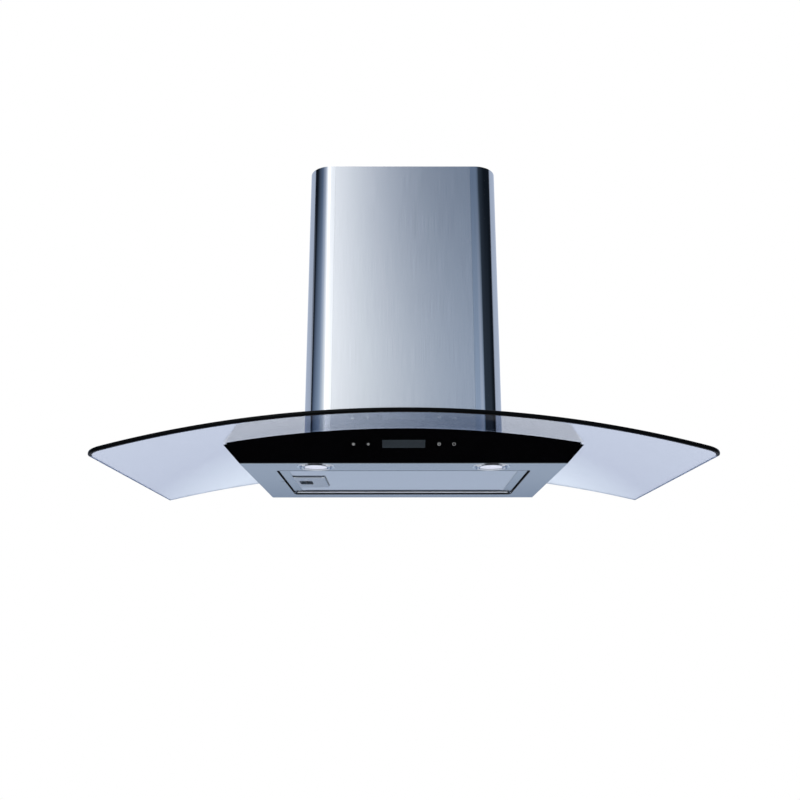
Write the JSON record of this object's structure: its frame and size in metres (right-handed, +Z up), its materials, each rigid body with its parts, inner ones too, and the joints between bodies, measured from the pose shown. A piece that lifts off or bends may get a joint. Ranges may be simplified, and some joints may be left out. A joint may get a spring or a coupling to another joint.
{
  "type": "chimney range hood",
  "caption": "Wall chimney hood with an arched glass canopy, black glass control fascia, grease filter that tilts down, blower, outlet flaps and telescopic chimney cover.",
  "frame": {"origin": "on the wall plane, in the middle of the casing's bottom rear edge", "axes": "+X to the right as seen from the front, +Y into the wall, +Z up"},
  "size_m": [0.9, 0.5, 0.5553],
  "materials": {
    "canopy_glass": "polished, faint blue-grey tint",
    "stainless_steel": "brushed",
    "zinc_plated_steel": "plain zinc coat",
    "silicone": "matt translucent grey",
    "black_glass": "polished black",
    "display_window": "smoked, polished",
    "key_caps": "satin grey",
    "black_plastic": "matt moulded",
    "circuit_board": "lacquered laminate",
    "chrome_trim": "polished",
    "lamp_glass": "frosted",
    "cast_aluminium": "satin",
    "aluminium_mesh": "expanded mesh, satin",
    "grey_plastic": "fine moulded grain",
    "impeller_plastic": "glass-filled, matt",
    "bright_steel": "ground",
    "spring_steel": "rolled strip",
    "motor_steel": "painted dark grey"
  },
  "bodies": {
    "hood": {"glass_canopy": "canopy_glass", "lower_casing": "stainless_steel", "outer_chimney": "stainless_steel", "top_plate": "zinc_plated_steel", "motor_box": "zinc_plated_steel", "box_top": "zinc_plated_steel", "collar_ring": "zinc_plated_steel", "glass_clamps": "zinc_plated_steel", "chimney_brackets": "zinc_plated_steel", "motor_bracket": "zinc_plated_steel", "glass_gasket": "silicone", "chimney_gasket": "silicone", "control_panel": "black_glass", "display_lens": "display_window", "control_carrier": "black_plastic", "display_module": "black_plastic", "terminal_box": "black_plastic", "terminal_lid": "black_plastic", "cable_gland": "black_plastic", "control_board": "circuit_board", "lamp_trim_left": "chrome_trim", "lamp_trim_right": "chrome_trim", "lamp_lens_left": "lamp_glass", "lamp_lens_right": "lamp_glass", "lamp_holder_left": "cast_aluminium", "lamp_holder_right": "cast_aluminium", "capacitor": "cast_aluminium", "scroll_left": "grey_plastic", "scroll_right": "grey_plastic", "damper_collar": "grey_plastic", "flap_seat": "grey_plastic", "damper_pins": "bright_steel", "filter_strike": "spring_steel", "motor": "motor_steel"},
    "fan": {"impeller": "impeller_plastic", "motor_shaft": "bright_steel"},
    "flap_front": {"damper_flap_front": "grey_plastic"},
    "flap_rear": {"damper_flap_rear": "grey_plastic"},
    "filter": {"filter_frame": "stainless_steel", "filter_outer_mesh": "aluminium_mesh", "filter_core": "aluminium_mesh", "filter_inner_mesh": "aluminium_mesh", "filter_pins": "bright_steel", "latch_housing": "grey_plastic", "latch_spring": "spring_steel"},
    "catch": {"filter_latch": "black_plastic"},
    "upper_chimney": {"inner_chimney": "stainless_steel"},
    "light_key": {"key_light": "key_caps"},
    "power_key": {"key_power": "key_caps"},
    "slower_key": {"key_slower": "key_caps"},
    "faster_key": {"key_faster": "key_caps"}
  },
  "joints": [
    {"name": "chimney_slide", "type": "slide", "parent": "hood", "child": "upper_chimney", "axis": [0, 0, 1], "range_m": [0, 0.3]},
    {"name": "fan_spin", "type": "hinge", "parent": "hood", "child": "fan", "pos_m": [0, -0.12, 0.168], "axis": [1, 0, 0], "continuous": true},
    {"name": "front_flap_swing", "type": "hinge", "parent": "hood", "child": "flap_front", "pos_m": [0, -0.157, 0.316], "axis": [-1, 0, 0], "range_deg": [0, 80]},
    {"name": "rear_flap_swing", "type": "hinge", "parent": "hood", "child": "flap_rear", "pos_m": [0, -0.149, 0.316], "axis": [1, 0, 0], "range_deg": [0, 80]},
    {"name": "filter_tilt", "type": "hinge", "parent": "hood", "child": "filter", "pos_m": [0.19, -0.1745, 0.0065], "axis": [0, -1, 0], "range_deg": [0, 75], "deforming": ["filter_strike"]},
    {"name": "catch_slide", "type": "slide", "parent": "filter", "child": "catch", "axis": [1, 0, 0], "range_m": [0, 0.0065], "stiffness_N_per_m": 400, "deforming": ["latch_spring"]},
    {"name": "light_key_press", "type": "slide", "parent": "hood", "child": "light_key", "axis": [0, 0.7804, 0.6252], "range_m": [0, 0.0012], "stiffness_N_per_m": 500},
    {"name": "power_key_press", "type": "slide", "parent": "hood", "child": "power_key", "axis": [0, 0.7804, 0.6252], "range_m": [0, 0.0012], "stiffness_N_per_m": 500},
    {"name": "slower_key_press", "type": "slide", "parent": "hood", "child": "slower_key", "axis": [0, 0.7804, 0.6252], "range_m": [0, 0.0012], "stiffness_N_per_m": 500},
    {"name": "faster_key_press", "type": "slide", "parent": "hood", "child": "faster_key", "axis": [0, 0.7804, 0.6252], "range_m": [0, 0.0012], "stiffness_N_per_m": 500}
  ]
}
